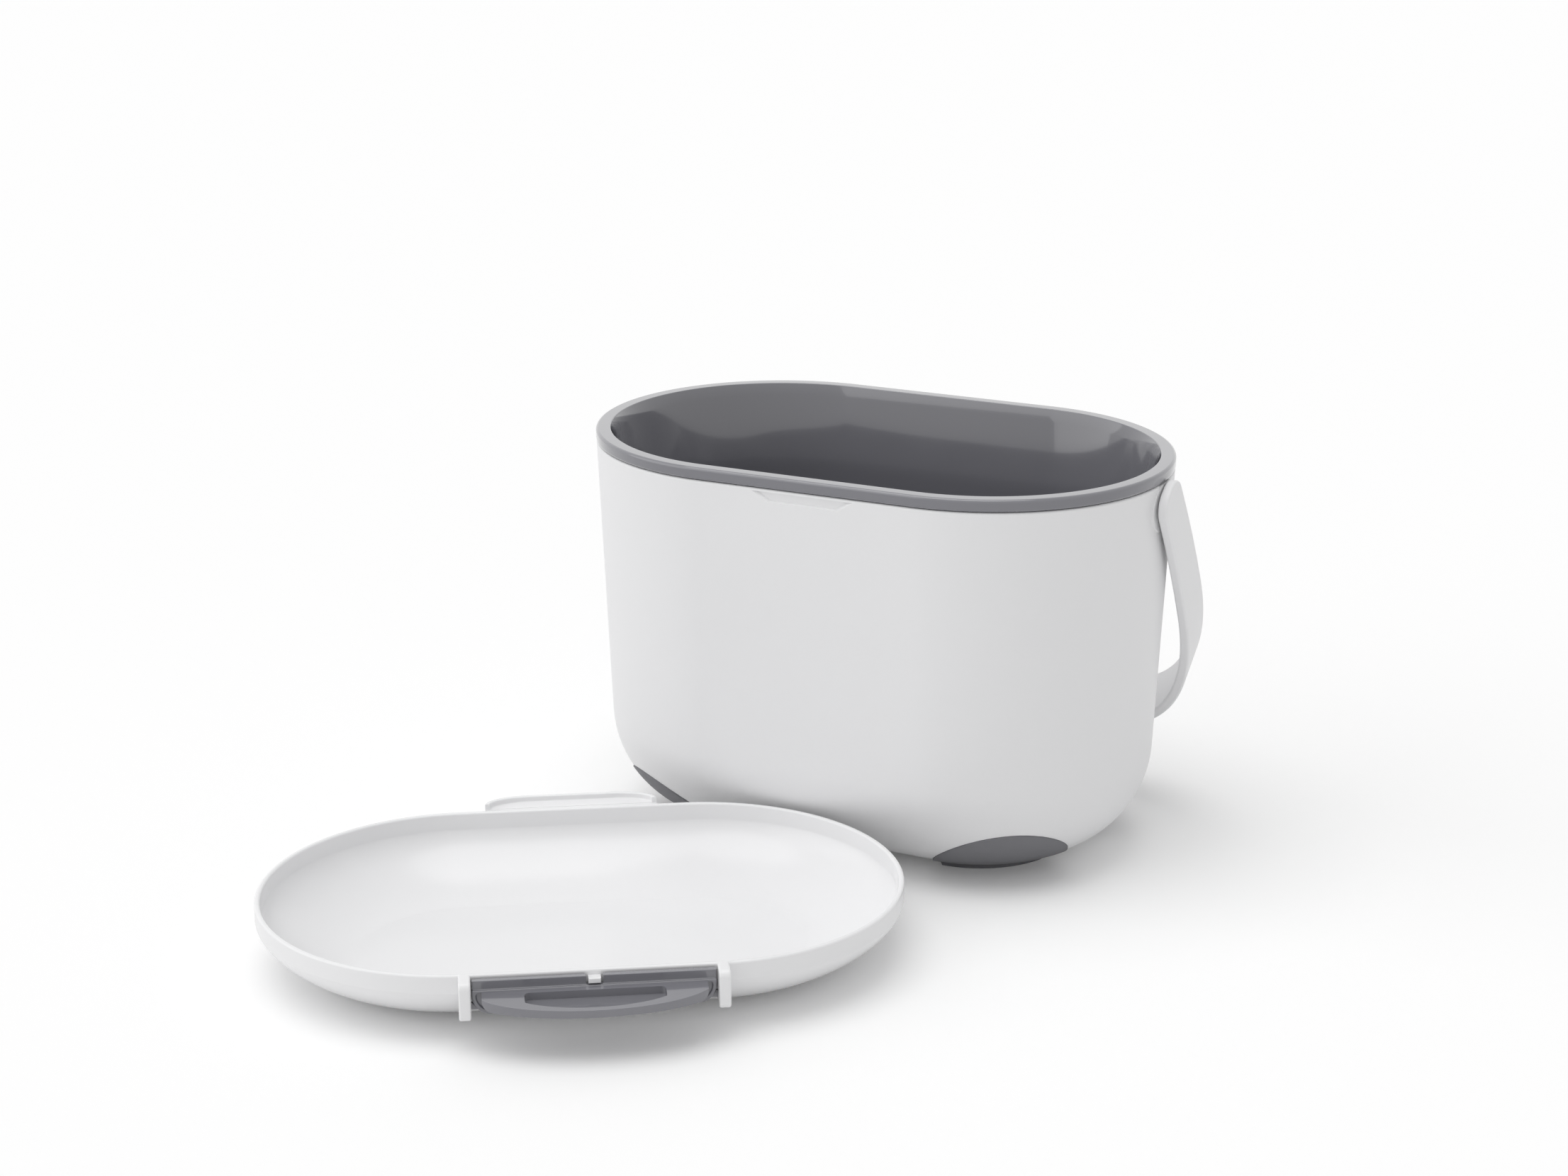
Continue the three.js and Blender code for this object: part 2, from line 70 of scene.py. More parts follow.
SEAT_ROOM = 0.15
OVERRUN = 2
# How near a corner is to a level that it lies on, and how far apart two levels are at least.
NEAR = 0.1
APART = 1
MILLIMETRE = 0.001
SMOOTH_ANGLE = math.radians(35)
QUARTER = math.pi / 2
RIM_HALF = RIM_WIDTH / 2
STRAIGHT_HALF = RIM_LENGTH / 2 - RIM_HALF


def take(piece):
    """Makes one object the only chosen and active one."""
    bpy.ops.object.select_all(action="DESELECT")
    piece.select_set(True)
    bpy.context.view_layer.objects.active = piece


def settle(piece):
    """Puts an object's place, turn and size into its mesh."""
    take(piece)
    bpy.ops.object.transform_apply(location=True, rotation=True, scale=True)


def choose(piece, test):
    """Chooses in edit mode the corners whose place passes a test, with all that lies between."""
    bpy.ops.mesh.select_all(action="DESELECT")
    grid = bmesh.from_edit_mesh(piece.data)
    for corner in grid.verts:
        corner.select = test(corner.co)
    grid.select_flush(True)
    bmesh.update_edit_mesh(piece.data)


def edit(piece):
    """Opens an object's mesh in edit mode."""
    take(piece)
    bpy.ops.object.mode_set(mode="EDIT")


def leave_edit():
    """Goes back to object mode, which keeps what was edited."""
    bpy.ops.object.mode_set(mode="OBJECT")


def round_lines(piece, test, offset, segments=6):
    """Rounds the single edges whose two ends pass a test together."""
    edit(piece)
    bpy.ops.mesh.select_mode(type="EDGE")
    bpy.ops.mesh.select_all(action="DESELECT")
    grid = bmesh.from_edit_mesh(piece.data)
    for edge in grid.edges:
        edge.select = test(*(corner.co for corner in edge.verts))
    bmesh.update_edit_mesh(piece.data)
    bpy.ops.mesh.bevel(offset=offset, segments=segments)
    bpy.ops.mesh.select_mode(type="VERT")
    leave_edit()


def soften(piece, width, segments=3, above=50):
    """Rounds every edge that is sharper than an angle."""
    take(piece)
    soft = piece.modifiers.new("soft", "BEVEL")
    soft.width = width
    soft.segments = segments
    soft.limit_method = "ANGLE"
    soft.angle_limit = math.radians(above)
    bpy.ops.object.modifier_apply(modifier=soft.name)


def trim(piece):
    """Splits a piece's faces into flat triangles and drops what has no area."""
    edit(piece)
    bpy.ops.mesh.select_all(action="SELECT")
    bpy.ops.mesh.quads_convert_to_tris()
    bpy.ops.mesh.dissolve_degenerate(threshold=0.001)
    bpy.ops.mesh.delete_loose()
    leave_edit()


def turned(name, rows, turns=128, spread=0.0):
    """A solid of circles along Z, each a radius and a height. A spread moves its two halves
    apart along X, which makes the circles ovals with straight sides."""
    bpy.ops.object.select_all(action="DESELECT")
    radius, height = rows[0]
    bpy.ops.mesh.primitive_circle_add(
        vertices=turns,
        radius=radius,
        location=(0, 0, height),
        rotation=(0, 0, math.pi / turns),
    )
    piece = bpy.context.object
    piece.name = name
    settle(piece)
    edit(piece)
    bpy.ops.mesh.select_all(action="SELECT")
    bpy.ops.mesh.edge_face_add()
    for (radius, height), (wider, higher) in zip(rows, rows[1:]):
        bpy.ops.mesh.extrude_edges_move(
            TRANSFORM_OT_translate={"value": (0, 0, higher - height)}
        )
        bpy.ops.transform.resize(
            value=(wider / radius, wider / radius, 1), center_override=(0, 0, higher)
        )
    bpy.ops.mesh.edge_face_add()
    bpy.ops.mesh.select_all(action="SELECT")
    bpy.ops.mesh.normals_make_consistent(inside=False)
    if spread:
        for side in (1, -1):
            choose(piece, lambda place: place.x * side > 0)
            bpy.ops.transform.translate(value=(side * spread, 0, 0))
    leave_edit()
    return piece


def block(name, low, high):
    """A box between two corners."""
    bpy.ops.object.select_all(action="DESELECT")
    bpy.ops.mesh.primitive_cube_add(
        size=1,
        location=[(a + b) / 2 for a, b in zip(low, high)],
        scale=[b - a for a, b in zip(low, high)],
    )
    piece = bpy.context.object
    piece.name = name
    settle(piece)
    return piece


def rod(name, radius, start, end, y, z, turns=64):
    """A round bar along X."""
    bpy.ops.object.select_all(action="DESELECT")
    bpy.ops.mesh.primitive_cylinder_add(
        vertices=turns,
        radius=radius,
        depth=abs(end - start),
        location=((start + end) / 2, y, z),
        rotation=(0, QUARTER, 0),
    )
    piece = bpy.context.object
    piece.name = name
    settle(piece)
    return piece


def combine(piece, other, operation, keep=False):
    """Adds another solid to a piece, cuts it out, or leaves only what the two share."""
    take(piece)
    change = piece.modifiers.new("combine", "BOOLEAN")
    change.operation = operation
    change.solver = "EXACT"
    change.object = other
    bpy.ops.object.modifier_apply(modifier=change.name)
    if not keep:
        bpy.data.objects.remove(other)


def twin(piece, name, side_x=1, side_y=1):
    """A copy with a mesh of its own, on the other side of the middle if a side is -1."""
    copy = piece.copy()
    copy.data = piece.data.copy()
    copy.name = name
    bpy.context.collection.objects.link(copy)
    copy.scale = (side_x, side_y, 1)
    settle(copy)
    edit(copy)
    bpy.ops.mesh.select_all(action="SELECT")
    bpy.ops.mesh.normals_make_consistent(inside=False)
    leave_edit()
    return copy


def draft_at(height):
    """How far the bucket's wall stands in from its rim at a height."""
    return DRAFT_INSET * (BUCKET_HEIGHT - height) / BUCKET_HEIGHT


def base_rows(offset, steps=24):
    """The bucket's rounded bottom edge, moved inwards by an offset."""
    radius = BASE_RADIUS - offset
    rows = []
    for step in range(steps + 1):
        turn = QUARTER * step / steps
        height = offset + radius * (1 - math.cos(turn))
        inset = offset + draft_at(height) + radius * (1 - math.sin(turn))
        rows.append((RIM_HALF - inset, height))
    return rows


def nose_rows(outer, inner, top, outer_round, inner_round, steps=5):
    """A rim whose outer and inner edges are rounded."""
    turns = [QUARTER * step / steps for step in range(steps + 1)]
    rows = [
        (
            outer - outer_round * (1 - math.cos(turn)),
            top - outer_round * (1 - math.sin(turn)),
        )
        for turn in turns
    ]
    return rows + [
        (
            inner + inner_round * (1 - math.sin(turn)),
            top - inner_round * (1 - math.cos(turn)),
        )
        for turn in turns
    ]


def bucket_body(name, offset):
    """The bucket's outside as a full solid, moved inwards by an offset."""
    rows = base_rows(offset) + [(RIM_HALF - offset, BUCKET_HEIGHT)]
    return turned(name, rows, spread=STRAIGHT_HALF)


def foot_zone(name, grown):
    """The leaning round space in the bottom edge that the front right foot takes."""
    bpy.ops.object.select_all(action="DESELECT")
    bpy.ops.mesh.primitive_cylinder_add(
        vertices=120,
        radius=FOOT_RADIUS + grown,
        depth=BASE_RADIUS * 2,
        location=(
            STRAIGHT_HALF + FOOT_REACH * math.cos(FOOT_TURN),
            -FOOT_REACH * math.sin(FOOT_TURN),
            FOOT_MIDDLE_HEIGHT,
        ),
        rotation=(0, -FOOT_LEAN, -FOOT_TURN),
    )
    zone = bpy.context.object
    zone.name = name
    settle(zone)
    return zone


class Flow:
    """A number that runs through a finish's nodes: sums written on it become Math nodes."""

    def __init__(self, finish, socket):
        self.finish = finish
        self.socket = socket

    def worked(self, operation, *values):
        """A Math node's result for some numbers."""
        return self.finish.node(
            "ShaderNodeMath", {"operation": operation}, dict(enumerate(values))
        )

    def __add__(self, other):
        return self.worked("ADD", self, other)

    def __mul__(self, other):
        return self.worked("MULTIPLY", self, other)

    def larger(self, other):
        return self.worked("MAXIMUM", self, other)

    __radd__ = __add__
    __rmul__ = __mul__


class Finish:
    """A material or a world that is put together node by node."""

    def __init__(self, owner):
        owner.use_nodes = True
        self.owner = owner
        self.tree = owner.node_tree
        self.tree.nodes.clear()

    def node(self, kind, settings=None, sockets=None, output=0):
        """Adds one node: its settings first, then the values or links of its sockets."""
        made = self.tree.nodes.new(kind)
        for name, value in (settings or {}).items():
            setattr(made, name, value)
        for name, value in (sockets or {}).items():
            if isinstance(value, Flow):
                self.tree.links.new(value.socket, made.inputs[name])
            else:
                made.inputs[name].default_value = value
        return Flow(self, made.outputs[output]) if made.outputs else None


def tint(red, green, blue):
    """A colour from its 8-bit screen values."""
    parts = []
    for value in (red, green, blue):
        share = value / 255
        parts.append(share / 12.92 if share <= 0.04045 else ((share + 0.055) / 1.055) ** 2.4)
    return (*parts, 1)


MARK_SHARE = 0.7
MARK_TONE_SHARE = 0.965
NOISE_MEAN = 0.5


def moulded(name, colour, roughness, sheen_spread, grain_size, grain_depth, swell_depth, coat=0.0):
    """Moulded plastic: a fine grain from the mould's steel, a slight swell where the wall
    shrank as it cooled, and faint flow marks in its gloss and colour."""
    finish = Finish(bpy.data.materials.new(name))
    place = finish.node("ShaderNodeTexCoord", output="Object")
    grain = finish.node(
        "ShaderNodeTexNoise",
        sockets={"Vector": place, "Scale": 1 / grain_size, "Detail": 3, "Roughness": 0.6},
    )
    swell = finish.node(
        "ShaderNodeTexNoise",
        sockets={"Vector": place, "Scale": 22, "Detail": 1, "Roughness": 0.4},
    )
    marks = finish.node(
        "ShaderNodeTexNoise",
        sockets={"Vector": place, "Scale": 9, "Detail": 4, "Roughness": 0.55, "Distortion": 1.2},
    )
    specks = finish.node(
        "ShaderNodeTexNoise",
        sockets={"Vector": place, "Scale": 700, "Detail": 2, "Roughness": 0.5},
    )
    deeper = [part * MARK_TONE_SHARE for part in colour[:3]] + [1]
    paint = finish.node(
        "ShaderNodeMix",
        {"data_type": "RGBA"},
        {0: marks * MARK_SHARE + specks * (1 - MARK_SHARE), 6: deeper, 7: colour},
        output=2,
    )
    swollen = finish.node(
        "ShaderNodeBump", sockets={"Strength": 1, "Distance": swell_depth, "Height": swell}
    )
    grained = finish.node(
        "ShaderNodeBump",
        sockets={"Strength": 1, "Distance": grain_depth, "Height": grain, "Normal": swollen},
    )
    speck_spread = sheen_spread / 2
    least_rough = roughness - (sheen_spread + speck_spread) * NOISE_MEAN
    shader = finish.node(
        "ShaderNodeBsdfPrincipled",
        sockets={
            "Base Color": paint,
            "Roughness": marks * sheen_spread + specks * speck_spread + least_rough,
            "IOR": 1.49,
            "Coat Weight": coat,
            "Coat Roughness": 0.06,
            "Normal": grained,
        },
    )
    finish.node("ShaderNodeOutputMaterial", sockets={"Surface": shader})
    return finish.owner


def hand_over(piece, material):
    """Brings a finished piece from millimetres to metres and gives it its finish."""
    settle(piece)
    piece.scale = (MILLIMETRE, MILLIMETRE, MILLIMETRE)
    settle(piece)
    bpy.ops.object.shade_smooth_by_angle(angle=SMOOTH_ANGLE)
    level = piece.modifiers.new("level", "WEIGHTED_NORMAL")
    level.keep_sharp = True
    bpy.ops.object.modifier_apply(modifier=level.name)
    piece.data.materials.clear()
    piece.data.materials.append(material)


shell_white = moulded(
    "shell_white_plastic",
    tint(236, 236, 237),
    roughness=0.40,
    sheen_spread=0.08,
    grain_size=0.0007,
    grain_depth=0.00002,
    swell_depth=0.0006,
)

bucket = turned(
    "bucket_shell",
    base_rows(0)
    + nose_rows(RIM_HALF, RIM_HALF - BUCKET_WALL, BUCKET_HEIGHT, BUCKET_NOSE, BUCKET_NOSE)
    + base_rows(BUCKET_WALL)[::-1],
    spread=STRAIGHT_HALF,
)
swollen_body = bucket_body("swollen_body", -PAD_PROUD)
for side in (1, -1):
    pad = rod(
        "pad",
        PAD_RADIUS,
        side * (RIM_LENGTH / 2 - BUCKET_WALL + PAD_ROOT),
        side * (RIM_LENGTH / 2 + OVERRUN),
        0,
        PIVOT_HEIGHT,
        turns=96,
    )
    combine(pad, swollen_body, "INTERSECT", keep=True)
    combine(bucket, pad, "UNION")
bpy.data.objects.remove(swollen_body)
hole = rod("hole", PIVOT_HOLE_RADIUS, -RIM_LENGTH, RIM_LENGTH, 0, PIVOT_HEIGHT)
combine(bucket, hole, "DIFFERENCE")

catch_top = BUCKET_HEIGHT - CATCH_DROP
catch_middle = catch_top - CATCH_HEIGHT / 2
catch = block(
    "catch",
    (-CATCH_TOP_WIDTH / 2, -RIM_HALF - CATCH_DEPTH / 4, catch_top - CATCH_HEIGHT),
    (CATCH_TOP_WIDTH / 2, CATCH_DEPTH - RIM_HALF, catch_top),
)
edit(catch)
choose(catch, lambda place: place.z < catch_middle)
bpy.ops.transform.resize(
    value=(CATCH_FOOT_WIDTH / CATCH_TOP_WIDTH, 1, 1), center_override=(0, 0, 0)
)
choose(catch, lambda place: place.y > -RIM_HALF)
bpy.ops.transform.resize(
    value=(1 - 2 * CATCH_SLOPE / CATCH_FOOT_WIDTH, 1, 1), center_override=(0, 0, 0)
)
choose(catch, lambda place: place.y > -RIM_HALF and place.z < catch_middle)
bpy.ops.transform.translate(value=(0, 0, CATCH_SLOPE / 3))
leave_edit()
combine(bucket, catch, "DIFFERENCE")

seat = bucket_body("seat", -OVERRUN)
combine(seat, bucket_body("seat_core", FOOT_INLAY + SEAT_ROOM), "DIFFERENCE")
combine(seat, foot_zone("seat_zone", SEAT_ROOM), "INTERSECT")
for side_x in (1, -1):
    for side_y in (1, -1):
        combine(bucket, twin(seat, "seat_twin", side_x, side_y), "DIFFERENCE")
bpy.data.objects.remove(seat)

hand_over(bucket, shell_white)
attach(bucket, "bucket")
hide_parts("outer_bucket")

# Soft feet

# Four lenses of dark grey rubber-like plastic, let into the bucket's bottom edge and a little
# proud of it. A pad under each carries the bucket 2.2 mm off the table.
FOOT_PROUD = 0.5
FOOT_DROP = 2.2
FOOT_PAD_RADIUS = 38
FOOT_PAD_ROUND = 0.5
FOOT_PAD_ROOT = 8
FOOT_EASING_SHARE = 0.3
LEDGE_WIDTH = 0.5
LEDGE_FOOT = 0.3
LEDGE_TOP = 0.15
LEDGE_REACH = 3.7
LEDGE_RISE = 1.45

foot_grey = moulded(
    "foot_soft_grey",
    tint(120, 120, 124),
    roughness=0.7,
    sheen_spread=0.06,
    grain_size=0.0005,
    grain_depth=0.00006,
    swell_depth=0.0003,
)

foot = turned(
    "foot",
    base_rows(-FOOT_PROUD) + base_rows(FOOT_INLAY)[::-1],
    spread=STRAIGHT_HALF,
)
foot_easing = FOOT_PAD_ROUND * FOOT_EASING_SHARE
foot_pad = turned(
    "foot_pad",
    [
        (FOOT_PAD_RADIUS - FOOT_PAD_ROUND, -FOOT_DROP),
        (FOOT_PAD_RADIUS - foot_easing, foot_easing - FOOT_DROP),
        (FOOT_PAD_RADIUS, FOOT_PAD_ROUND - FOOT_DROP),
        (FOOT_PAD_RADIUS, -LEDGE_FOOT),
        (FOOT_PAD_RADIUS + LEDGE_WIDTH, -LEDGE_TOP),
        (FOOT_PAD_RADIUS + LEDGE_REACH, LEDGE_RISE),
        (FOOT_PAD_RADIUS - FOOT_PAD_ROOT, FOOT_INLAY / 2),
    ],
    turns=100,
)
foot_pad.location.x = STRAIGHT_HALF
settle(foot_pad)
combine(foot, foot_pad, "UNION")
combine(foot, foot_zone("foot_edge", 0), "INTERSECT")
for side_y, place in ((1, "front"), (-1, "rear")):
    for side_x, hand in ((1, "right"), (-1, "left")):
        one = twin(foot, f"soft_foot_{place}_{hand}", side_x, side_y)
        hand_over(one, foot_grey)
        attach(one, "bucket")
        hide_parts(f"foot_{place}_{hand}")
bpy.data.objects.remove(foot)

# Bail handle

# One moulded white strap of the bucket's plastic that hangs behind the bucket. Its flat ends
# have rounded corners and snap over the studs; the bar across the back is a wider, thicker grip.
BAIL_DEPTH = 147
BAIL_CORNER_ACROSS = 51
BAIL_CORNER_DEEP = 86
BAIL_CORNER_POWER = 2.12
BAIL_LEAN = 1.8
STRAP_THICKNESS = 4
GRIP_THICKNESS = 4.6
STRAP_END_WIDTH = 20.4
STRAP_WIDTH = 22.6
GRIP_WIDTH = 24.6
STRAP_EDGE = 1.1
STRAP_END_ROUND = 8.6
STUD_SEAT_DEPTH = 2.4
RUNNING_GAP = 0.3
BAIL_HANG = math.radians(35.58)
ARM_STEPS = 4
BAIL_STEPS = 30
STRAP_INNER_FACE = RIM_LENGTH / 2 + PAD_PROUD + RUNNING_GAP
STRAP_OUTER_FACE = STRAP_INNER_FACE + STRAP_THICKNESS
ARM_DEPTH = BAIL_DEPTH - BAIL_CORNER_DEEP


def bail_stations():
    """How far across and how deep the strap's outer face is, with its width there."""
    stations = []
    for step in range(ARM_STEPS):
        share = step / ARM_STEPS
        stations.append(
            (
                STRAP_OUTER_FACE - BAIL_LEAN * share**2,
                ARM_DEPTH * share,
                STRAP_END_WIDTH + (STRAP_WIDTH - STRAP_END_WIDTH) * share,
            )
        )
    for step in range(BAIL_STEPS + 1):
        share = step / BAIL_STEPS
        across = 1 - math.cos(QUARTER * share) ** (2 / BAIL_CORNER_POWER)
        deep = math.sin(QUARTER * share) ** (2 / BAIL_CORNER_POWER)
        carried = 2 * BAIL_LEAN / ARM_DEPTH * BAIL_CORNER_DEEP * deep * (1 - share) ** 2
        stations.append(
            (
                STRAP_OUTER_FACE - BAIL_LEAN - BAIL_CORNER_ACROSS * across - carried,
                ARM_DEPTH + BAIL_CORNER_DEEP * deep,
                STRAP_WIDTH + (GRIP_WIDTH - STRAP_WIDTH) * share,
            )
        )
    return stations + [(0, BAIL_DEPTH, GRIP_WIDTH)]


stations = bail_stations()
bpy.ops.object.select_all(action="DESELECT")
bpy.ops.mesh.primitive_plane_add(
    size=1,
    location=(STRAP_OUTER_FACE, 0, STRAP_END_WIDTH / 4),
    rotation=(0, QUARTER, 0),
)
handle = bpy.context.object
handle.name = "handle_strap"
handle.scale = (STRAP_END_WIDTH / 2, STRAP_END_WIDTH, 1)
settle(handle)
edit(handle)
choose(handle, lambda place: place.z < APART)
for (across, deep, width), (next_across, next_deep, wider) in zip(stations, stations[1:]):
    bpy.ops.mesh.extrude_edges_move(
        TRANSFORM_OT_translate={"value": (next_across - across, 0, deep - next_deep)}
    )
    bpy.ops.transform.resize(value=(1, wider / width, 1), center_override=(0, 0, 0))
choose(handle, lambda place: place.z > APART)
bpy.ops.mesh.bevel(offset=STRAP_END_ROUND, segments=14, affect="VERTICES")
leave_edit()
mirror = handle.modifiers.new("mirror", "MIRROR")
mirror.use_clip = True
bpy.ops.object.modifier_apply(modifier=mirror.name)
edit(handle)
bpy.ops.mesh.select_all(action="SELECT")
bpy.ops.mesh.normals_make_consistent(inside=False)
strap_faces = bmesh.from_edit_mesh(handle.data).faces
end_face = max(strap_faces, key=lambda face: face.calc_center_median().x)
if end_face.normal.x < 0:
    bpy.ops.mesh.flip_normals()
leave_edit()
grip = handle.vertex_groups.new(name="grip")
for corner in handle.data.vertices:
    share = min(max((-corner.co.z - ARM_DEPTH) / BAIL_CORNER_DEEP, 0), 1)
    thickness = STRAP_THICKNESS + (GRIP_THICKNESS - STRAP_THICKNESS) * share
    grip.add([corner.index], thickness / GRIP_THICKNESS, "REPLACE")
thick = handle.modifiers.new("thick", "SOLIDIFY")
thick.thickness = GRIP_THICKNESS
thick.offset = -1
thick.use_even_offset = True
thick.vertex_group = grip.name
thick.thickness_vertex_group = 0
bpy.ops.object.modifier_apply(modifier=thick.name)
soften(handle, STRAP_EDGE, segments=4)
for side in (1, -1):
    seat_hole = rod(
        "seat_hole",
        PIVOT_HOLE_RADIUS,
        side * (STRAP_INNER_FACE - OVERRUN),
        side * (STRAP_INNER_FACE + STUD_SEAT_DEPTH + RUNNING_GAP),
        0,
        0,
    )
    combine(handle, seat_hole, "DIFFERENCE")
handle.rotation_euler.x = BAIL_HANG
handle.location.z = PIVOT_HEIGHT
hand_over(handle, shell_white)
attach(handle, "handle")
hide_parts("bail_handle")

# Pivot studs

# Two domed studs of the same white plastic. Each is pushed through its end wall from inside,
# its shank ends in the strap, and the handle turns on it.
STUD_HEAD_RADIUS = 4.2
STUD_HEAD_HEIGHT = 2.4
STUD_HEAD_BASE = 121.2
STUD_STEPS = 10
STUD_SHANK_RADIUS = PIVOT_HOLE_RADIUS - RUNNING_GAP

stud_rows = [
    (
        STUD_HEAD_RADIUS * math.sin(QUARTER * step / STUD_STEPS),
        STUD_HEAD_BASE - STUD_HEAD_HEIGHT * math.cos(QUARTER * step / STUD_STEPS),
    )
    for step in range(1, STUD_STEPS + 1)
] + [
    (STUD_SHANK_RADIUS, STUD_HEAD_BASE),
    (STUD_SHANK_RADIUS, STRAP_INNER_FACE + STUD_SEAT_DEPTH - RUNNING_GAP),
    (STUD_SHANK_RADIUS - RUNNING_GAP, STRAP_INNER_FACE + STUD_SEAT_DEPTH),
]
stud = turned("stud_right", stud_rows, turns=48)
stud.rotation_euler.y = QUARTER
stud.location.z = PIVOT_HEIGHT
settle(stud)
for one, hand in ((twin(stud, "stud_left", -1), "left"), (stud, "right")):
    hand_over(one, shell_white)
    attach(one, "bucket")
    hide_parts(f"pivot_stud_{hand}")

# Liner

# One moulded bin of glossy grey plastic that lifts out. A wide flat lip rests on the bucket's
# rim, a flared collar bends in to the tapered bin, and eight ribs keep the collar off the wall.
LIP_WIDTH = 6.3
LIP_HEIGHT = 5
LIP_PROUD = 0.3
LIP_OUTER_ROUND = 1.3
LIP_INNER_ROUND = 0.5
LIP_FOOT_CURVE = ((1.1, 0), (0.5, 0.15), (0.15, 0.5), (0, 1.1))
LINER_WALL = 1.8
COLLAR_TOP_INSET = 6.6
COLLAR_FOOT_INSET = 10.9
COLLAR_HEIGHT = 23
COLLAR_STEP = 0.8
OUTER_BEND = ((0.24, -4), (-0.02, -2.4), (-0.35, -1.4), (-0.74, -0.3), (-0.92, 0.8))
INNER_EASING = 9
EASING_RISE_SHARE = 0.4
EASING_INSET_SHARE = 0.42
LINER_DRAFT = 8.6
LINER_UNDER_GAP = 6
LINER_BASE = BUCKET_WALL + LINER_UNDER_GAP
LINER_BASE_RADIUS = 34
RIB_WIDTH = 3.2
RIB_HEIGHT = 15
RIB_ROOT = 0.7
RIB_TOP_SHIFT = 3
RIB_ROUND = 1.3
RIB_FOOT_ROUND = 3.6
RIB_OUTER_REACH = 74.9
END_RIB_TURN = math.radians(30)
FRONT_RIB_OFFSET = 3.4
SEAT_HEIGHT = BUCKET_HEIGHT + RUNNING_GAP
LINER_HALF = RIM_HALF + LIP_PROUD
LINER_TOP = SEAT_HEIGHT + LIP_HEIGHT
COLLAR_FOOT = SEAT_HEIGHT - COLLAR_HEIGHT


def liner_rows(offset, steps=20):
    """The liner's outside below its lip or, with an offset, its inside, whose collar bends in
    more gently."""
    base = LINER_BASE + offset
    radius = LINER_BASE_RADIUS - offset
    foot_inset = COLLAR_FOOT_INSET + COLLAR_STEP
    rows = []
    for step in range(steps + 1):
        turn = QUARTER * step / steps
        height = base + radius * (1 - math.cos(turn))
        drawn = LINER_DRAFT * (COLLAR_FOOT - height) / COLLAR_FOOT
        rows.append(
            (LINER_HALF - offset - foot_inset - drawn - radius * (1 - math.sin(turn)), height)
        )
    if offset:
        eased = LINER_DRAFT * INNER_EASING / COLLAR_FOOT
        middle = COLLAR_FOOT_INSET + (COLLAR_STEP + eased) * EASING_INSET_SHARE
        collar = [
            (foot_inset + eased, COLLAR_FOOT - INNER_EASING),
            (middle, COLLAR_FOOT - INNER_EASING * EASING_RISE_SHARE),
            (COLLAR_FOOT_INSET, COLLAR_FOOT),
        ]
    else:
        collar = [(foot_inset + inset, COLLAR_FOOT + rise) for inset, rise in OUTER_BEND]
    collar.append((COLLAR_TOP_INSET, SEAT_HEIGHT))
    return rows + [(LINER_HALF - offset - inset, height) for inset, height in collar]


liner_grey = moulded(
    "liner_gloss_grey",
    tint(118, 118, 124),
    roughness=0.14,
    sheen_spread=0.08,
    grain_size=0.0005,
    grain_depth=0.000003,
    swell_depth=0.0004,
    coat=1.0,
)

lip_foot = [(LINER_HALF - inset, SEAT_HEIGHT + rise) for inset, rise in LIP_FOOT_CURVE]
liner = turned(
    "liner_bin",
    liner_rows(0)
    + lip_foot
    + nose_rows(LINER_HALF, LINER_HALF - LIP_WIDTH, LINER_TOP, LIP_OUTER_ROUND, LIP_INNER_ROUND)
    + liner_rows(LINER_WALL)[::-1],
    spread=STRAIGHT_HALF,
)
rib_foot = SEAT_HEIGHT - RIB_HEIGHT
rib = block(
    "rib",
    (LINER_HALF - COLLAR_FOOT_INSET, -RIB_WIDTH / 2, rib_foot),
    (RIB_OUTER_REACH, RIB_WIDTH / 2, SEAT_HEIGHT + RIB_ROOT),
)
edit(rib)
choose(rib, lambda place: place.x < LINER_HALF - COLLAR_FOOT_INSET + APART)
bpy.ops.transform.translate(value=(RIB_ROOT, 0, 0))
choose(rib, lambda place: place.x < RIB_OUTER_REACH - APART and place.z > SEAT_HEIGHT)
bpy.ops.transform.translate(value=(RIB_TOP_SHIFT, 0, 0))
leave_edit()
round_lines(
    rib,
    lambda a, b: min(a.x, b.x) > RIB_OUTER_REACH - NEAR and max(a.z, b.z) < rib_foot + NEAR,
    RIB_FOOT_ROUND,
    segments=8,
)
round_lines(
    rib,
    lambda a, b: a.y * b.y > 0 and min(a.x, b.x) > RIB_OUTER_REACH - RIB_FOOT_ROUND + NEAR,
    RIB_ROUND,
    segments=5,
)
for side in (1, -1):
    for hand in (1, -1):
        outward = 0 if side == 1 else math.pi
        for centre, turn in (
            (side * STRAIGHT_HALF, outward + hand * END_RIB_TURN),
            (side * (STRAIGHT_HALF + FRONT_RIB_OFFSET), hand * QUARTER),
        ):
            fin = twin(rib, "fin")
            fin.rotation_euler.z = turn
            fin.location.x = centre
            settle(fin)
            combine(liner, fin, "UNION")
bpy.data.objects.remove(rib)
hand_over(liner, liner_grey)
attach(liner, "liner_body")
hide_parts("liner")

# Lid

